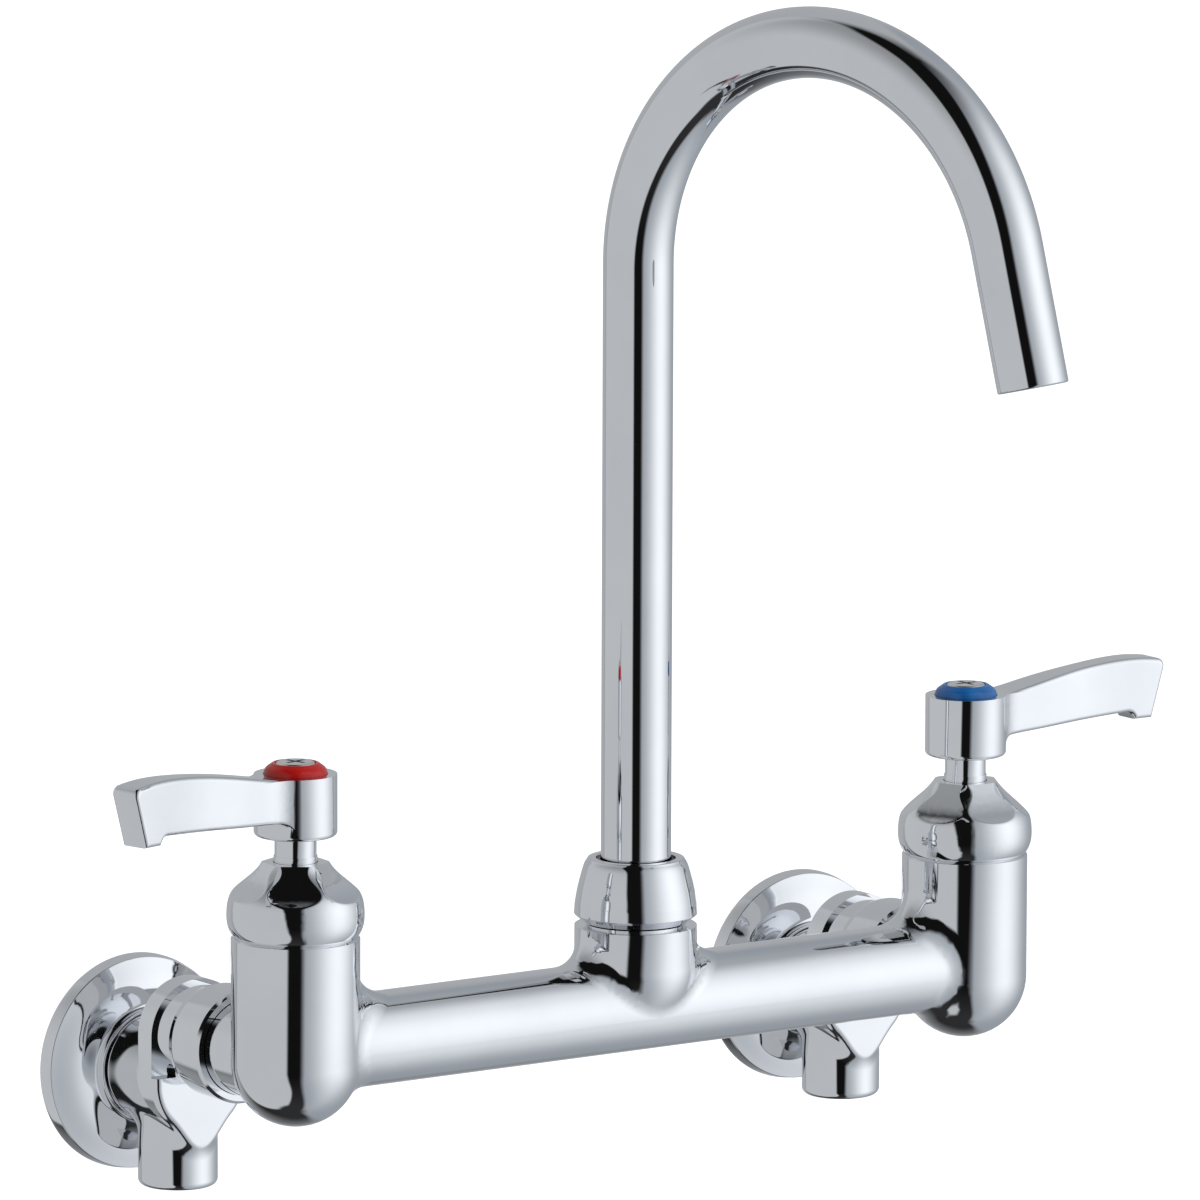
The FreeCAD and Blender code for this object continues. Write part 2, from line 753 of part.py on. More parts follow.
# Offset body: the supply enters low at the wall and leaves higher, towards the valve.
def stop_body():
    barrel = along_y(rod(boss_r, stop_front - 2 * stub_fillet, wall_to_bar), inlet_z)
    stub = moved(rod(stub_r, stub_bottom, inlet_z), 0, stub_depth, 0)
    foot = [e for e in stub.Edges if e.BoundBox.ZMax < stub_bottom + 0.1]
    solid = barrel.fuse(stub.makeFillet(stub_round, foot)).removeSplitter()
    joins = [e for e in solid.Edges if e.Curve.TypeId == "Part::GeomBSplineCurve"]
    solid = solid.makeFillet(stub_fillet, joins)
    front = Part.makeBox(8 * boss_r, 4 * boss_r, 8 * boss_r, vec(-4 * boss_r, stop_front - 4 * boss_r, -6 * boss_r))
    neck = along_y(ring(2 * boss_r, boss_r, wall_to_bar - flange_h_all - face_gap, wall_to_bar), inlet_z)
    solid = solid.cut(front).cut(neck)
    upper = along_y(rod(boss_r, stop_front, stop_back), -tail_drop)
    cheek = Part.makeBox(2 * boss_r, stop_back - stop_front, bar_rise - tail_drop, vec(-boss_r, stop_front, inlet_z))
    solid = solid.fuse(upper).fuse(cheek).removeSplitter()
    recess = Part.makeBox(4 * boss_r, 2 * face_recess, 4 * boss_r, vec(-2 * boss_r, stop_front - face_recess, recess_low))
    solid = solid.cut(recess).fuse(along_y(rod(coupling_thread_r, spud_end, stop_back - 1), -tail_drop))
    solid = solid.removeSplitter()
    return solid.makeFillet(front_soft, [e for e in solid.Edges if rounds_front(e)])


def stop_cavities():
    inlet = along_y(rod(inlet_r, wall_to_bar - inlet_depth, wall_to_bar), inlet_z)
    feed = along_y(rod(feed_r, stub_depth, wall_to_bar - inlet_depth), inlet_z)
    bore = moved(rod(stop_bore_r, stub_bottom, seat_z), 0, stub_depth, 0)
    gland_seat = moved(rod(gland_r, stub_bottom, gland_z + gland_h), 0, stub_depth, 0)
    seat = moved(rod(feed_r, seat_z, seat_z + seat_thick), 0, stub_depth, 0)
    room = moved(rod(seat_room_r, seat_z + seat_thick, seat_z + seat_thick + seat_room_h), 0, stub_depth, 0)
    start = vec(0, stub_depth, outlet_low)
    end = vec(0, stop_front + outlet_set_back, outlet_high)
    outlet = Part.makeCylinder(outlet_r, (end - start).Length, start, end - start)
    spud = along_y(rod(spud_bore_r, spud_end, stop_front + spud_set_back), -tail_drop)
    return [inlet, feed, bore, gland_seat, seat, room, outlet, spud]


def bored_stop_body():
    solid = stop_body()
    for cavity in stop_cavities():
        solid = solid.cut(cavity)
    return solid


def stop_gland():
    gland = ring(gland_r - fit_gap, rod_r + running_gap, gland_z, gland_z + gland_h)
    notch = block(2 * gland_r, gland_notch, gland_z, gland_z + gland_notch)
    return moved(gland.cut(notch), 0, stub_depth, 0)


def stop_washer():
    return moved(rod(stop_washer_r, cup_top, washer_top), 0, stub_depth, 0)


def stop_washer_cup():
    cup = rod(cup_r, cup_bottom, cup_top).cut(rod(pin_r + running_gap, cup_bottom, cup_bottom + cup_socket_depth))
    return moved(cup, 0, stub_depth, 0)


def rod_groove_r():
    return rod_r + running_gap - 2 * rod_seal_r - 2 * fit_gap


def stop_spindle():
    spindle = rod(pin_r, thread_z, pin_top).fuse(rod(stop_bore_r - running_gap, rod_top, thread_z))
    spindle = spindle.fuse(rod(rod_r, rod_bottom, rod_top)).removeSplitter()
    middle = rod_bottom + slot_deep + rod_seal_rise
    half = rod_seal_r + groove_slack / 2
    spindle = spindle.cut(ring(rod_r + 1, rod_groove_r(), middle - half, middle + half))
    spindle = spindle.cut(block(2 * rod_r, slot_wide, rod_bottom, rod_bottom + slot_deep))
    return moved(spindle, 0, stub_depth, 0)


def stop_spindle_seal():
    middle = rod_bottom + slot_deep + rod_seal_rise
    return moved(seal_ring(rod_groove_r() + fit_gap + rod_seal_r, rod_seal_r, middle), 0, stub_depth, 0)


# Pressed cover plate, open at the back, with a short collar round the stop's barrel.
def wall_flange():
    hole = boss_r + flange_gap
    collar = hole + flange_collar_wall
    shoulder = flange_rim + flange_dome
    lip = shoulder + flange_collar_h
    outer = flange_r - flange_bevel
    plate = lathe([
        (flange_r - flange_sheet, 0), (flange_r, 0), (flange_r, 1.0), (outer, flange_rim),
        [((outer + collar) / 2, flange_rim + 0.7 * flange_dome), (collar + 0.6, shoulder)],
        (collar, shoulder + 0.6), (collar, lip - 0.4), (collar - 0.4, lip), (hole, lip),
        (hole, shoulder - flange_sheet),
        [((outer + collar) / 2, flange_rim + 0.7 * flange_dome - flange_sheet),
         (outer - flange_sheet, flange_rim - flange_sheet)]])
    plate.rotate(centre, x_axis, 90)
    plate.translate(vec(0, wall_to_bar, inlet_z))
    return plate


def save(name, shape):
    shape.exportStep("parts/" + name + ".step")
    print(name, shape.isValid(), len(shape.Solids), round(shape.Volume, 1))


os.makedirs("parts", exist_ok=True)

save("faucet_body", at_bar(faucet_body()))

save("spout_nut", at_bar(spout_nut()))
save("spout_bearing_washer", at_bar(ring(spout_flange_r, hub_bore_r + end_gap, thread_top,
                                         thread_top + spout_washer_h)))

spout_turn = spout_azimuth - 90
save("gooseneck_tube", at_bar(turned(gooseneck_tube(), spout_turn)))
save("flow_straightener", at_bar(turned(flow_straightener(), spout_turn)))
save("spout_collar", at_bar(spout_collar()))
save("spout_thrust_washer", at_bar(ring(spout_flange_r, tube_r + face_gap, thrust_washer_z,
                                        thrust_washer_z + spout_washer_h)))
save("spout_seal_lower", at_bar(spout_seal(spout_seal_heights[0])))
save("spout_seal_upper", at_bar(spout_seal(spout_seal_heights[1])))

sides = (("hot", -1, hot_bonnet_turn, 180 + hot_lever_yaw), ("cold", 1, cold_bonnet_turn, -cold_lever_yaw))
for name, side, bonnet_turn, lever_turn in sides:
    pieces = {
        "bonnet": bonnet(bonnet_turn),
        "cartridge_housing": cartridge_housing(),
        "housing_gasket": ring(socket_r - 2 * fit_gap, chamber_r, ledge_z, flange_z),
        "fixed_disc": fixed_disc(),
        "seat_seal": ring(skirt_in - end_gap, seal_hole_r, chamber_floor, disc_z),
        "moving_disc": moving_disc(),
        "stem": stem(),
        "stem_seal": stem_seal(),
        "stem_thrust_washer": ring(skirt_in - 4 * end_gap, stem_r + end_gap, driver_z + driver_h,
                                   driver_z + driver_h + thrust_h),
        "lever": lever(lever_turn),
        "index_ring": index_ring(),
        "handle_screw": turned(handle_screw(), lever_turn),
        "coupling_nut": coupling_nut(),
        "tail_ring": tail_ring(),
        "coupling_washer": coupling_washer(),
        "stop_body": bored_stop_body(),
        "stop_gland": stop_gland(),
        "stop_washer": stop_washer(),
        "stop_washer_cup": stop_washer_cup(),
        "stop_spindle": stop_spindle(),
        "stop_spindle_seal": stop_spindle_seal(),
        "wall_flange": wall_flange(),
    }
    for piece, shape in pieces.items():
        save(name + "_" + piece, at_valve(shape, side))
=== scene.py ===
import json
import math

import bmesh
import bpy
from mathutils import Matrix, Vector


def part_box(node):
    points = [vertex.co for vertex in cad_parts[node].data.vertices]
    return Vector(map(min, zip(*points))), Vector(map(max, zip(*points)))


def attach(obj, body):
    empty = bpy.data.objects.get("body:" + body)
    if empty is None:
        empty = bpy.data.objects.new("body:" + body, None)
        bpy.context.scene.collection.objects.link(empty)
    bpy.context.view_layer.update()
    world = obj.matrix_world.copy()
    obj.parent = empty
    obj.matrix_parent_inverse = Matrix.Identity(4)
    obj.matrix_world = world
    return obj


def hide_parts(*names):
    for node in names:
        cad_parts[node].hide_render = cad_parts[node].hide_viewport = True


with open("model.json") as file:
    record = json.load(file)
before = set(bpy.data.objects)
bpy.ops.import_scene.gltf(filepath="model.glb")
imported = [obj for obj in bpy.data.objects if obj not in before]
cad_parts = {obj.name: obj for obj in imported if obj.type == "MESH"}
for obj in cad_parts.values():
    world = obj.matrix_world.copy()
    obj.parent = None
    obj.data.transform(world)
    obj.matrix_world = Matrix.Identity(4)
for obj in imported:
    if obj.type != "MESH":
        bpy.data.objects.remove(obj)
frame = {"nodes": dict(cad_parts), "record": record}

# Wall faucet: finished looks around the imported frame. Metres, same axes as the frame.
nodes = frame["nodes"]
record = frame["record"]
nodeBody = {node: body for body, held in record["behaviour"]["bodies"].items() for node in held}
nodeSlot = {part["node"]: part["material_slot"] for part in record["subparts"]}
joints = record["behaviour"]["joints"]
jointPlace = {joint["name"]: Vector(joint["pos_m"]) for joint in joints if "pos_m" in joint}
mounts = {mount["name"]: mount for mount in record["mounts"]}
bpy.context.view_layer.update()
scene = bpy.context.scene
bothSides = ("hot", "cold")
sharpAngle = math.radians(32.0)
print("stage: frame loaded,", len(nodes), "nodes")


# camera of the photograph
photoCamera = {
    "place": (-1.8979852, -2.7866557, 0.6688802),
    "right": (0.8212884, -0.5705018, 0.0036153),
    "up": (0.0908395, 0.1370224, 0.986394),
    "lens": 405.796,
    "sensor": 36.0,
    "clip": (0.05, 60.0),
}


def addCamera(c):
    data = bpy.data.cameras.new("photoCamera")
    data.sensor_width = c["sensor"]
    data.lens = c["lens"]
    data.clip_start, data.clip_end = c["clip"]
    cam = bpy.data.objects.new("photoCamera", data)
    right, up = Vector(c["right"]), Vector(c["up"])
    turn = Matrix((right, up, right.cross(up))).transposed().to_4x4()
    cam.matrix_world = Matrix.Translation(c["place"]) @ turn
    scene.collection.objects.link(cam)
    scene.camera = cam


addCamera(photoCamera)
print("stage: camera")


# shader node helpers
def addNode(tree, kind, **values):
    node = tree.nodes.new(kind)
    for key, value in values.items():
        setattr(node, key, value)
    return node


def wire(tree, source, target):
    tree.links.new(source, target)


def feed(tree, socket, value):
    if isinstance(value, (int, float)):
        socket.default_value = value
    elif isinstance(value, tuple):
        socket.default_value = (*value, 1.0)
    else:
        wire(tree, value, socket)


def calc(tree, operation, *terms):
    node = addNode(tree, "ShaderNodeMath", operation=operation)
    for socket, term in zip(node.inputs, terms):
        feed(tree, socket, term)
    return node.outputs["Value"]


def spread(tree, source, low, high, fromLow=0.0, fromHigh=1.0, shape="LINEAR"):
    node = addNode(tree, "ShaderNodeMapRange", interpolation_type=shape)
    node.inputs["From Min"].default_value = fromLow
    node.inputs["From Max"].default_value = fromHigh
    node.inputs["To Min"].default_value = low
    node.inputs["To Max"].default_value = high
    wire(tree, source, node.inputs["Value"])
    return node.outputs["Result"]


def mixColour(tree, factor, first, second, blend="MIX"):
    node = addNode(tree, "ShaderNodeMix", data_type="RGBA", blend_type=blend)
    feed(tree, node.inputs["Factor"], factor)
    feed(tree, node.inputs["A"], first)
    feed(tree, node.inputs["B"], second)
    return node.outputs["Result"]


def dotWith(tree, vector, axis):
    node = addNode(tree, "ShaderNodeVectorMath", operation="DOT_PRODUCT")
    node.inputs[1].default_value = axis
    wire(tree, vector, node.inputs[0])
    return node.outputs["Value"]


# studio room, in degrees: "across" runs to the right of the camera, "rise" up from the level
studioRoom = {
    "front": (-0.5710, -0.8209, 0.0),
    "right": (0.8209, -0.5710, 0.0),
    "above": (0.006, 0.006, 0.006),
    "below": (0.030, 0.030, 0.032),
    "darkTurn": (-75.0, -15.0),
    "panels": [
        {"across": (122.0, 236.0), "rise": (-60.0, 76.0), "round": 34.0, "edge": 14.0, "lean": 0.0,
         "fade": (-16.0, -52.0, 0.3), "colour": (0.43, 0.445, 0.46)},
        {"across": (-130.0, -15.5), "rise": (-71.0, 62.0), "round": 34.0, "edge": 3.0, "lean": 0.2,
         "fade": (12.0, 62.0, 0.55), "colour": (0.54, 0.555, 0.57)},
    ],
    "sheet": {"across": (14.5, 170.0), "rise": (-80.0, 84.0), "round": 55.0, "edge": 6.0, "lean": 0.0,
              "fade": (44.0, 84.0, 0.2), "colour": (0.325, 0.35, 0.385)},
    "hotSpot": {"across": 80.0, "rise": 6.0, "wide": 41.0, "high": 52.0, "colour": (0.82, 0.83, 0.84)},
}


def panelMask(tree, across, rise, p):
    leaning = calc(tree, "ADD", across, calc(tree, "MULTIPLY", rise, p["lean"]))
    reach = []
    for value, (low, high) in ((leaning, p["across"]), (rise, p["rise"])):
        off = calc(tree, "ABSOLUTE", calc(tree, "SUBTRACT", value, (low + high) / 2))
        reach.append(calc(tree, "MAXIMUM", calc(tree, "SUBTRACT", off, (high - low) / 2 - p["round"]), 0.0))
    squares = [calc(tree, "MULTIPLY", r, r) for r in reach]
    away = calc(tree, "SQRT", calc(tree, "ADD", *squares))
    mask = spread(tree, away, 1.0, 0.0, p["round"] - p["edge"], p["round"] + p["edge"], "SMOOTHSTEP")
    if "fade" not in p:
        return mask
    start, end, level = p["fade"]   # a panel may grow dimmer towards one end
    return calc(tree, "MULTIPLY", mask, spread(tree, rise, 1.0, level, start, end, "SMOOTHSTEP"))


def hotSpotMask(tree, across, rise, h):
    sides = calc(tree, "DIVIDE", calc(tree, "SUBTRACT", across, h["across"]), h["wide"])
    ends = calc(tree, "DIVIDE", calc(tree, "SUBTRACT", rise, h["rise"]), h["high"])
    total = calc(tree, "ADD", calc(tree, "MULTIPLY", sides, sides), calc(tree, "MULTIPLY", ends, ends))
    return calc(tree, "EXPONENT", calc(tree, "MULTIPLY", total, -1.0))


def buildRoom(r):
    world = bpy.data.worlds.new("studioRoom")
    world.use_nodes = True
    tree = world.node_tree
    tree.nodes.clear()
    way = addNode(tree, "ShaderNodeTexCoord").outputs["Generated"]
    turn = calc(tree, "ARCTAN2", dotWith(tree, way, r["right"]), dotWith(tree, way, r["front"]))
    across = calc(tree, "DEGREES", turn)
    behind = calc(tree, "ADD", across, calc(tree, "MULTIPLY", calc(tree, "LESS_THAN", across, 0.0), 360.0))
    rise = calc(tree, "DEGREES", calc(tree, "ARCSINE", dotWith(tree, way, (0.0, 0.0, 1.0))))
    dark = spread(tree, rise, 0.0, 1.0, *r["darkTurn"])
    colour = mixColour(tree, dark, r["below"], r["above"])
    for panel in r["panels"]:
        place = behind if panel["across"][1] > 180.0 else across
        colour = mixColour(tree, panelMask(tree, place, rise, panel), colour, panel["colour"])
    sheet = panelMask(tree, across, rise, r["sheet"])
    colour = mixColour(tree, sheet, colour, r["sheet"]["colour"])
    spot = calc(tree, "MULTIPLY", sheet, hotSpotMask(tree, across, rise, r["hotSpot"]))
    colour = mixColour(tree, spot, colour, r["hotSpot"]["colour"], "ADD")
    lit = addNode(tree, "ShaderNodeBackground")
    wire(tree, colour, lit.inputs["Color"])
    plain = addNode(tree, "ShaderNodeBackground")   # the backdrop itself is plain white
    plain.inputs["Color"].default_value = (1.0, 1.0, 1.0, 1.0)
    pick = addNode(tree, "ShaderNodeMixShader")
    wire(tree, addNode(tree, "ShaderNodeLightPath").outputs["Is Camera Ray"], pick.inputs["Fac"])
    wire(tree, lit.outputs["Background"], pick.inputs[1])
    wire(tree, plain.outputs["Background"], pick.inputs[2])
    wire(tree, pick.outputs["Shader"], addNode(tree, "ShaderNodeOutputWorld").inputs["Surface"])
    scene.world = world
    scene.view_settings.view_transform = "Standard"
    scene.view_settings.look = "None"


buildRoom(studioRoom)

paleFloor = {
    "height": -1.10, "half": 14.0, "cells": 8, "colour": (0.93, 0.93, 0.93), "roughness": 0.9, "glow": 0.85,
}


def buildFloor(f):
    mesh = bpy.data.meshes.new("paleFloor")
    bm = bmesh.new()
    bmesh.ops.create_grid(bm, x_segments=f["cells"], y_segments=f["cells"], size=f["half"],
                          matrix=Matrix.Translation((0, 0, f["height"])))
    bm.to_mesh(mesh)
    bm.free()
    floor = bpy.data.objects.new("paleFloor", mesh)
    scene.collection.objects.link(floor)
    mat = bpy.data.materials.new("paleFloor")
    mat.use_nodes = True
    skin = mat.node_tree.nodes["Principled BSDF"]
    skin.inputs["Base Color"].default_value = (*f["colour"], 1.0)
    skin.inputs["Roughness"].default_value = f["roughness"]
    skin.inputs["Emission Color"].default_value = (1.0, 1.0, 1.0, 1.0)
    skin.inputs["Emission Strength"].default_value = f["glow"]
    mesh.materials.append(mat)
    floor.visible_glossy = False   # the metal shows the room, not the floor


buildFloor(paleFloor)

softLight = {"place": (0.5, -1.3, 1.9), "aim": (0.0, -0.07, 0.08), "size": 1.6, "power": 26.0}


def addLight(s):
    data = bpy.data.lights.new("softLight", "AREA")
    data.size = s["size"]
    data.energy = s["power"]
    light = bpy.data.objects.new("softLight", data)
    aim = Vector(s["aim"]) - Vector(s["place"])
    light.matrix_world = Matrix.Translation(s["place"]) @ aim.to_track_quat("-Z", "Y").to_matrix().to_4x4()
    light.visible_glossy = False   # the metal shows the panels only
    scene.collection.objects.link(light)


addLight(softLight)
print("stage: room, floor and light")


# finishes, each on object coordinates
def newFinish(name):
    mat = bpy.data.materials.new(name)
    mat.use_nodes = True
    tree = mat.node_tree
    return mat, tree, tree.nodes["Principled BSDF"], addNode(tree, "ShaderNodeTexCoord").outputs["Object"]


def cloud(tree, coords, scale, detail=3.0, rough=0.5, stretch=None):
    if stretch:
        place = addNode(tree, "ShaderNodeMapping")
        place.inputs["Scale"].default_value = stretch
        wire(tree, coords, place.inputs["Vector"])
        coords = place.outputs["Vector"]
    node = addNode(tree, "ShaderNodeTexNoise")
    node.inputs["Scale"].default_value = scale
    node.inputs["Detail"].default_value = detail
    node.inputs["Roughness"].default_value = rough
    wire(tree, coords, node.inputs["Vector"])
    return node.outputs["Fac"]


def toned(tree, source, first, second, fromLow=0.3, fromHigh=0.7):
    return mixColour(tree, spread(tree, source, 0.0, 1.0, fromLow, fromHigh), first, second)


def relief(tree, skin, heights):
    normal = None
    for height, depth in heights:
        bump = addNode(tree, "ShaderNodeBump")
        bump.inputs["Strength"].default_value = 1.0
        bump.inputs["Distance"].default_value = depth
        wire(tree, height, bump.inputs["Height"])
        if normal is not None:
            wire(tree, normal, bump.inputs["Normal"])
        normal = bump.outputs["Normal"]
    wire(tree, normal, skin.inputs["Normal"])


# polished plate: faint haze, buffing lines along "grain" and the casting's slight waves
def chromeFinish(name, c):
    mat, tree, skin, coords = newFinish(name)
    haze = cloud(tree, coords, c["hazeScale"], 4.0, 0.6)
    wire(tree, toned(tree, haze, *c["tint"]), skin.inputs["Base Color"])
    buff = cloud(tree, coords, c["buffScale"], 2.0, 0.6, c["grain"])
    wire(tree, spread(tree, buff, *c["gloss"], *c["buffSpan"]), skin.inputs["Roughness"])
    skin.inputs["Metallic"].default_value = 1.0
    waves = cloud(tree, coords, c["waveScale"], 1.0, 0.4)
    relief(tree, skin, [(waves, c["waveDepth"]), (buff, c["buffDepth"])])
    return mat


# part of a noise that the gloss of the other finishes runs over, and the scale of stains on bare metal
glossSpan = (0.25, 0.8)
stainScale = 120.0


# turned or drawn metal with tool rings across "grain"
def metalFinish(name, m):
    mat, tree, skin, coords = newFinish(name)
    rings = cloud(tree, coords, m["ringScale"], 2.0, 0.5, m["grain"])
    stain = cloud(tree, coords, stainScale, 5.0, 0.6)
    wire(tree, toned(tree, stain, *m["tint"]), skin.inputs["Base Color"])
    wire(tree, spread(tree, rings, *m["gloss"], *glossSpan), skin.inputs["Roughness"])
    skin.inputs["Metallic"].default_value = 1.0
    relief(tree, skin, [(rings, m["ringDepth"])])
    return mat


# moulded or fired material: mottled colour, fine grain and broad flow marks
def mouldedFinish(name, m):
    mat, tree, skin, coords = newFinish(name)
    flow = cloud(tree, coords, m["flowScale"], 3.0, 0.55)
    grain = cloud(tree, coords, m["grainScale"], 2.0, 0.5)
    wire(tree, toned(tree, flow, *m["tint"]), skin.inputs["Base Color"])
    wire(tree, spread(tree, grain, *m["gloss"], *glossSpan), skin.inputs["Roughness"])
    skin.inputs["Specular IOR Level"].default_value = m["shine"]
    relief(tree, skin, [(flow, m["flowDepth"]), (grain, m["grainDepth"])])
    return mat


plate = {
    "tint": ((0.81, 0.82, 0.84), (0.86, 0.87, 0.885)), "gloss": (0.025, 0.065), "hazeScale": 38.0,
    "buffScale": 900.0, "buffSpan": (0.2, 0.9), "buffDepth": 0.0000005,
}
finishes = {
    "castChrome": chromeFinish("castChrome", {
        **plate, "grain": (1.0, 1.0, 0.35), "waveScale": 55.0, "waveDepth": 0.000016}),
    "drawnChrome": chromeFinish("drawnChrome", {
        **plate, "grain": (1.0, 1.0, 0.06), "waveScale": 40.0, "waveDepth": 0.000005}),
    "turnedChrome": chromeFinish("turnedChrome", {
        **plate, "grain": (0.3, 0.3, 3.0), "waveScale": 40.0, "waveDepth": 0.000005}),
    "buffedChrome": chromeFinish("buffedChrome", {
        **plate, "grain": (1.0, 1.0, 0.35), "waveScale": 95.0, "waveDepth": 0.00005}),
    "plain_brass": metalFinish("plainBrass", {
        "tint": ((0.62, 0.42, 0.17), (0.80, 0.59, 0.28)), "gloss": (0.22, 0.42),
        "ringScale": 2600.0, "grain": (0.02, 0.02, 1.0), "ringDepth": 0.000006}),
    "screw_steel": metalFinish("screwSteel", {
        "tint": ((0.76, 0.755, 0.74), (0.88, 0.875, 0.86)), "gloss": (0.14, 0.30),
        "ringScale": 2200.0, "grain": (1.0, 0.05, 0.6), "ringDepth": 0.000004}),
    "spring_steel": metalFinish("springSteel", {
        "tint": ((0.28, 0.29, 0.32), (0.42, 0.42, 0.44)), "gloss": (0.24, 0.46),
        "ringScale": 1800.0, "grain": (0.08, 1.0, 0.08), "ringDepth": 0.000005}),
    "hot_red_plastic": mouldedFinish("hotRedPlastic", {
        "tint": ((0.42, 0.007, 0.005), (0.54, 0.012, 0.008)), "gloss": (0.18, 0.30), "shine": 0.4,
        "flowScale": 260.0, "grainScale": 2400.0, "flowDepth": 0.00001, "grainDepth": 0.000003}),
    "cold_blue_plastic": mouldedFinish("coldBluePlastic", {
        "tint": ((0.006, 0.090, 0.30), (0.011, 0.135, 0.40)), "gloss": (0.18, 0.30), "shine": 0.5,
        "flowScale": 260.0, "grainScale": 2400.0, "flowDepth": 0.00001, "grainDepth": 0.000003}),
    "white_ceramic": mouldedFinish("whiteCeramic", {
        "tint": ((0.82, 0.80, 0.75), (0.89, 0.88, 0.85)), "gloss": (0.10, 0.24), "shine": 0.6,
        "flowScale": 420.0, "grainScale": 3600.0, "flowDepth": 0.000002, "grainDepth": 0.000002}),
    "black_rubber": mouldedFinish("blackRubber", {
        "tint": ((0.012, 0.012, 0.013), (0.030, 0.029, 0.028)), "gloss": (0.48, 0.78), "shine": 0.3,
        "flowScale": 500.0, "grainScale": 3200.0, "flowDepth": 0.000008, "grainDepth": 0.000010}),
    "white_washer_plastic": mouldedFinish("whiteWasherPlastic", {
        "tint": ((0.78, 0.78, 0.75), (0.88, 0.88, 0.86)), "gloss": (0.34, 0.55), "shine": 0.4,
        "flowScale": 300.0, "grainScale": 2600.0, "flowDepth": 0.000006, "grainDepth": 0.000005}),
    "insert_plastic": mouldedFinish("insertPlastic", {
        "tint": ((0.42, 0.43, 0.44), (0.55, 0.56, 0.57)), "gloss": (0.30, 0.50), "shine": 0.4,
        "flowScale": 340.0, "grainScale": 2600.0, "flowDepth": 0.000006, "grainDepth": 0.000005}),
}
print("stage: finishes")


# mesh helpers
normalWeight = 60
joinGap = 0.000002


def finishPiece(bm, name, node, finish, slot=None):
    bmesh.ops.recalc_face_normals(bm, faces=bm.faces)
    for face in bm.faces:
        face.smooth = True
    for edge in bm.edges:
        edge.smooth = edge.calc_face_angle(0.0) < sharpAngle
    mesh = bpy.data.meshes.new(name)
    bm.to_mesh(mesh)
    bm.free()
    mesh.materials.append(finishes[finish])
    piece = bpy.data.objects.new(name, mesh)
    scene.collection.objects.link(piece)
    even = piece.modifiers.new("evenNormals", "WEIGHTED_NORMAL")
    even.keep_sharp = True
    even.weight = normalWeight
    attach(piece, nodeBody[node])
    if slot is None:   # a piece with a slot of its own is added to the node and doesn't replace it
        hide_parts(node)
    return piece


# smooth copy of a frame node: its triangles joined and soft across gentle edges
def polishedCopy(node, finish):
    bm = bmesh.new()
    bm.from_mesh(nodes[node].data)
    bmesh.ops.remove_doubles(bm, verts=bm.verts, dist=joinGap)
    finishPiece(bm, node + "Polished", node, finish)


# rounds the corner at "at" between two neighbours
def softCorner(before, at, after, radius, steps=3):
    here, back, ahead = Vector(at), Vector(before) - Vector(at), Vector(after) - Vector(at)
    back.normalize()
    ahead.normalize()
    half = back.angle(ahead) / 2
    middle = here + (back + ahead).normalized() * (radius / math.sin(half))
    start = here + back * (radius / math.tan(half)) - middle
    end = here + ahead * (radius / math.tan(half)) - middle
    return [tuple(middle + start.slerp(end, k / steps) * radius) for k in range(steps + 1)]


# smooth line through a few points, with "per" steps between each two
def smoothLine(points, per=8):
    pts = [Vector(p) for p in points]
    pts = [2 * pts[0] - pts[1]] + pts + [2 * pts[-1] - pts[-2]]
    line = []
    for a, b, c, d in zip(pts, pts[1:], pts[2:], pts[3:]):
        for k in range(per):
            t = k / per
            line.append(tuple(0.5 * (2 * b + (c - a) * t + (2 * a - 5 * b + 4 * c - d) * t * t
                                     + (3 * b - a - 3 * c + d) * t * t * t)))
    return line + [tuple(pts[-2])]


# solid turned from a closed outline of (radius, height), about "axis" through "base"
def spunPiece(name, node, finish, outline, base, axis, steps):
    bm = bmesh.new()
    side = Vector((1.0, 0.0, 0.0))
    along = Vector(axis)
    verts = [bm.verts.new(Vector(base) + side * r + along * h) for r, h in outline]
    edges = [bm.edges.new((a, b)) for a, b in zip(verts, verts[1:] + verts[:1])]
    bmesh.ops.spin(bm, geom=verts + edges, cent=base, axis=axis, angle=2 * math.pi, steps=steps,
                   use_merge=True)
    return finishPiece(bm, name, node, finish)


# gooseneck tube
neckTube = {
    "radius": 0.00876, "wall": 0.0011, "bend": 0.0598, "turn": math.radians(165.65), "tip": 0.03438,
    "lip": 0.0005, "heading": math.radians(14.1 - 90.0), "around": 128, "bendSteps": 168, "innerSteps": 42,
    "lipSteps": 4,
}


def growLoop(bm, loop, place):
    made = bmesh.ops.extrude_edge_only(bm, edges=loop)["geom"]
    fresh = [g for g in made if isinstance(g, bmesh.types.BMVert)]
    for vert in fresh:
        vert.co = place(vert.co)
    edges = [g for g in made if isinstance(g, bmesh.types.BMEdge)]
    return [e for e in edges if e.verts[0] in fresh and e.verts[1] in fresh]


def tubeWall(bm, t, radius, foot, top, steps, tip):
    ring = bmesh.ops.create_circle(bm, segments=t["around"], radius=radius,
                                   matrix=Matrix.Translation((0, 0, foot)))
    first = list({e for v in ring["verts"] for e in v.link_edges})
    loop = growLoop(bm, first, lambda co: Vector((co.x, co.y, top)))
    spun = bmesh.ops.spin(bm, geom=loop, cent=(t["bend"], 0, top), axis=(0, 1, 0), angle=t["turn"],
                          steps=steps)
    loop = [g for g in spun["geom_last"] if isinstance(g, bmesh.types.BMEdge)]
    heading = Vector((math.sin(t["turn"]), 0, math.cos(t["turn"])))
    return first, growLoop(bm, loop, lambda co: co + heading * tip), heading


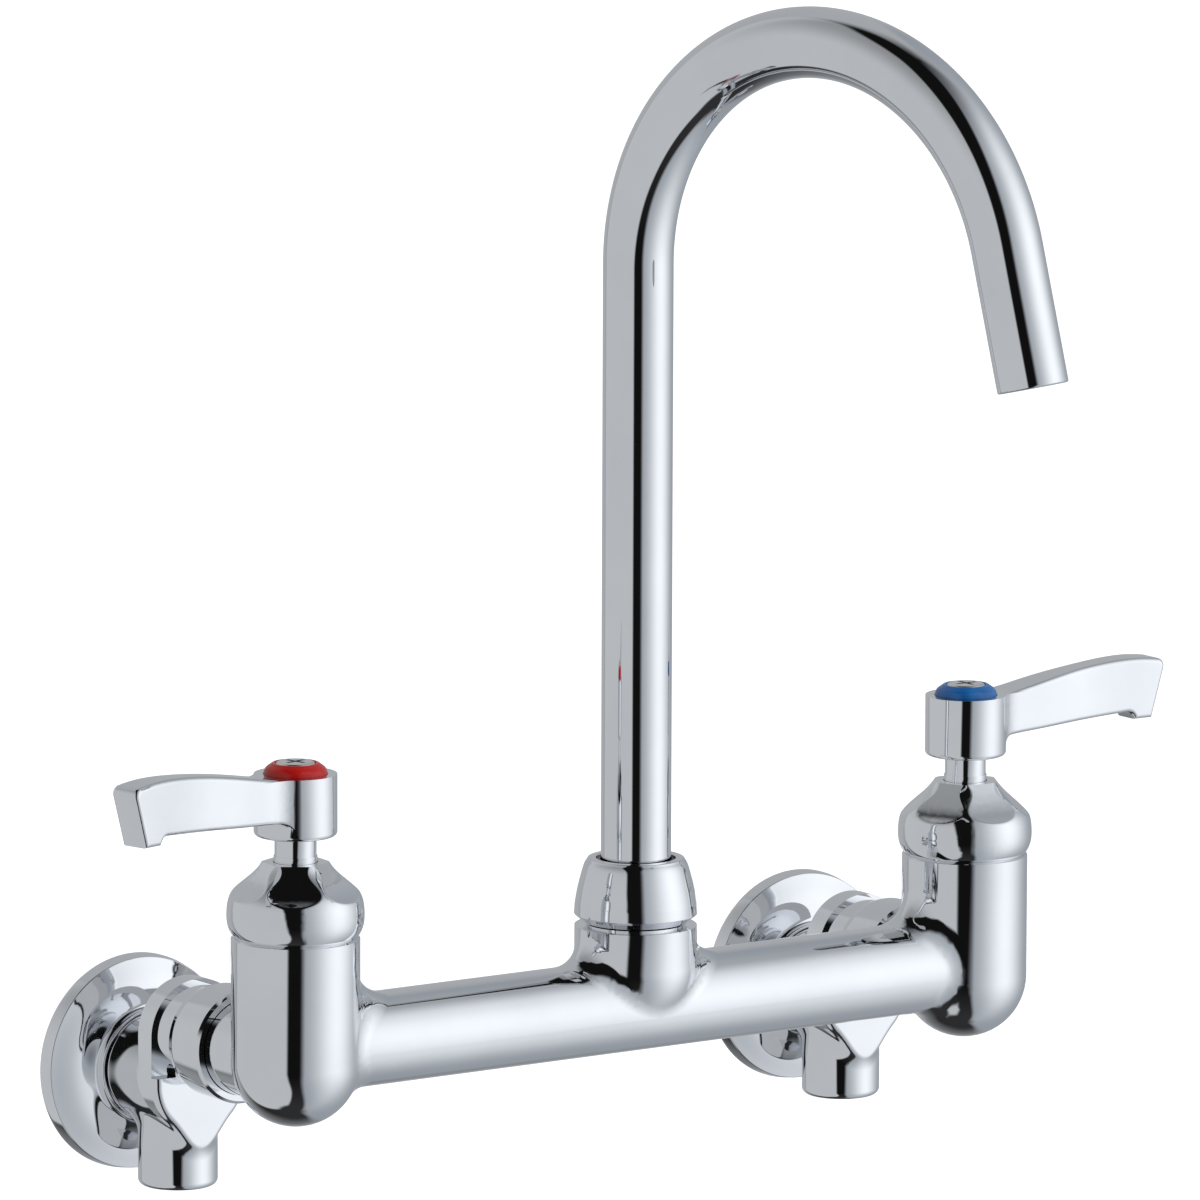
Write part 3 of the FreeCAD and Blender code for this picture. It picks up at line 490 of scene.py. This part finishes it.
def buildTube(t):
    low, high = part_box("gooseneck_tube")
    axis = jointPlace["spout_swivel"]
    foot = low.z
    top = high.z - t["bend"] - t["radius"]
    bm = bmesh.new()
    first, last, heading = tubeWall(bm, t, t["radius"], foot, top, t["bendSteps"], t["tip"] - t["lip"])
    for k in range(t["lipSteps"]):
        angles = [math.pi / 2 * j / t["lipSteps"] for j in (k, k + 1)]
        ahead = t["lip"] * (math.sin(angles[1]) - math.sin(angles[0]))
        radii = [t["radius"] - t["lip"] * (1 - math.cos(a)) for a in angles]
        points = {v.co.copy().freeze() for e in last for v in e.verts}
        middle = sum(points, Vector()) / len(points)
        last = growLoop(bm, last, lambda co: middle + (co - middle) * (radii[1] / radii[0]) + heading * ahead)
    inner = t["radius"] - t["wall"]
    innerFirst, innerLast, heading = tubeWall(bm, t, inner, foot, top, t["innerSteps"], t["tip"])
    bmesh.ops.bridge_loops(bm, edges=first + innerFirst)
    bmesh.ops.bridge_loops(bm, edges=last + innerLast)
    place = Matrix.Translation((axis.x, axis.y, 0)) @ Matrix.Rotation(t["heading"], 4, "Z")
    bmesh.ops.transform(bm, matrix=place, verts=bm.verts)
    finishPiece(bm, "gooseneckTube", "gooseneck_tube", "drawnChrome")


buildTube(neckTube)
print("stage: gooseneck tube")


# bell-shaped spout nut, heights from its foot
spoutNut = {
    "bore": 0.01185, "foot": 0.0125, "widest": 0.0154, "bevel": 0.0024, "high": 0.0166, "hole": 0.0099,
    "lip": 0.0040, "edge": 0.0003, "steps": 144,
    "bell": [(0.01525, 0.0049), (0.0145, 0.00913), (0.0131, 0.0144), (0.0122, 0.0161), (0.01195, 0.01648),
             (0.0113, 0.0166)],
}


def buildSpoutNut(n):
    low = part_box("spout_nut")[0]
    axis = jointPlace["spout_swivel"]
    foot, widest = (n["foot"], 0.0), (n["widest"], n["bevel"])
    outline = softCorner((n["bore"], 0.0), foot, widest, n["edge"] / 2)
    outline += softCorner(foot, widest, n["bell"][0], n["edge"])
    outline += smoothLine(n["bell"])
    outline += softCorner(n["bell"][-1], (n["hole"], n["high"]), (n["hole"], n["high"] - n["lip"]), n["edge"])
    outline += [(n["hole"], n["high"] - n["lip"]), (n["bore"], n["high"] - n["lip"]), (n["bore"], 0.0)]
    base = (axis.x, axis.y, low.z)
    spunPiece("spoutNut", "spout_nut", "buffedChrome", outline, base, (0, 0, 1), n["steps"])


buildSpoutNut(spoutNut)
print("stage: spout nut")


# pressed wall flanges, heights from the wall
wallFlange = {
    "radius": 0.0272, "sheet": 0.0012, "rim": 0.0040, "bevel": 0.0005, "dome": 0.0029, "collar": 0.01455,
    "collarHigh": 0.0022, "hole": 0.01375, "edge": 0.00035, "foot": 0.001, "browShare": 0.7, "hipOut": 0.0006,
    "hipTurn": 0.0002, "lipEdge": 0.0004, "steps": 192,
}


def buildFlange(side, f):
    node = side + "_wall_flange"
    low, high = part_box(node)
    outer = f["radius"] - f["bevel"]
    shoulder = f["rim"] + f["dome"]
    lip = shoulder + f["collarHigh"]
    brow = ((outer + f["collar"]) / 2, f["rim"] + f["browShare"] * f["dome"])
    hip = (f["collar"] + f["hipOut"], shoulder)
    under = (brow[0], brow[1] - f["sheet"])
    inside = (outer - f["sheet"], f["rim"] - f["sheet"])
    crown = smoothLine([(outer - f["edge"], f["rim"] + f["edge"] / 3), brow, hip], 12)
    foot = (f["radius"], f["foot"])
    outline = [(f["radius"] - f["sheet"], 0.0), (f["radius"], 0.0), foot]
    outline += softCorner(foot, (outer, f["rim"]), crown[1], f["edge"], 5)
    outline += crown[1:]
    outline += [(f["collar"] + f["hipTurn"], shoulder + f["hipTurn"]), (f["collar"], shoulder + f["hipOut"])]
    outline += softCorner((f["collar"], shoulder), (f["collar"], lip), (f["hole"], lip), f["lipEdge"])
    outline += [(f["hole"], lip), (f["hole"], shoulder - f["sheet"])]
    outline += smoothLine([(f["hole"], shoulder - f["sheet"]), under, inside], 8)[1:]
    base = ((low.x + high.x) / 2, high.y, (low.z + high.z) / 2)
    spunPiece(side + "WallFlange", node, "turnedChrome", outline, base, (0, -1, 0), f["steps"])


for side in bothSides:
    buildFlange(side, wallFlange)
print("stage: wall flanges")


# domed index rings, heights from the bottom of the lever's recess
indexRing = {
    "hole": 0.0028, "radius": 0.0079, "side": 0.0021, "middle": 0.00735, "top": 0.0057, "high": 0.0046,
    "seat": 0.0030, "well": 0.0050, "edge": 0.0002, "steps": 112,
}


def buildIndexRing(side, r):
    node = side + "_index_ring"
    low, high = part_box(node)
    middle = (r["middle"], (r["side"] + r["high"]) / 2)
    dome = smoothLine([(r["radius"], r["side"]), middle, (r["top"], r["high"])], 10)
    outline = [(r["hole"], 0.0), (r["radius"], 0.0)]
    outline += dome[:-1]
    outline += softCorner(dome[-2], dome[-1], (r["well"], r["high"]), r["edge"])
    outline += softCorner(dome[-1], (r["well"], r["high"]), (r["well"], r["seat"]), r["edge"])
    outline += [(r["well"], r["seat"]), (r["hole"], r["seat"])]
    base = ((low.x + high.x) / 2, (low.y + high.y) / 2, low.z)
    spunPiece(side + "IndexRing", node, nodeSlot[node], outline, base, (0, 0, 1), r["steps"])


for side in bothSides:
    buildIndexRing(side, indexRing)
print("stage: index rings")


# helical pipe thread in each supply inlet
inletThread = {"ridge": 0.0007, "root": 0.00005, "pitch": 0.00181, "turns": 6, "perTurn": 64}


def buildInletThread(side, t):
    inlet = mounts[side + "_supply_inlet"]
    node = side + "_stop_body"
    radius = inlet["dims"]["r_mm"] / 1000
    axis = Vector(inlet["axis"])
    start = Vector(inlet["pos_m"]) - axis * (t["pitch"] * (t["turns"] + 1) / 2)
    root, crest = radius + t["root"], radius - t["ridge"]
    ridge = [(root, 0.0), (crest, t["pitch"] / 2), (root, t["pitch"])]
    bm = bmesh.new()
    verts = [bm.verts.new(start + Vector((r, 0, 0)) + axis * h) for r, h in ridge]
    edges = [bm.edges.new((a, b)) for a, b in zip(verts, verts[1:] + verts[:1])]
    bm.faces.new(verts)
    spun = bmesh.ops.spin(bm, geom=verts + edges, cent=start, axis=axis,
                          dvec=axis * (t["pitch"] / t["perTurn"]),
                          angle=2 * math.pi * t["turns"], steps=t["perTurn"] * t["turns"])
    bm.faces.new([g for g in spun["geom_last"] if isinstance(g, bmesh.types.BMVert)])
    finishPiece(bm, side + "InletThread", node, "plain_brass", "plain_brass")


for side in bothSides:
    buildInletThread(side, inletThread)
print("stage: inlet threads")


# smooth copies of the castings and of the other bright pieces
polishedCopy("faucet_body", "castChrome")
brightParts = {
    "lever": "castChrome", "bonnet": "castChrome", "stop_body": "castChrome", "coupling_nut": "turnedChrome",
    "cartridge_housing": "turnedChrome", "stop_gland": "turnedChrome", "handle_screw": "screw_steel",
}
for side in bothSides:
    for part, finish in brightParts.items():
        polishedCopy(side + "_" + part, finish)
print("stage: castings and bright pieces")


# the inner pieces keep their frame meshes and take a finish
for node, cadPiece in nodes.items():
    if not cadPiece.hide_render:
        cadPiece.data.materials.clear()
        cadPiece.data.materials.append(finishes[nodeSlot[node]])
print("stage: inner pieces")
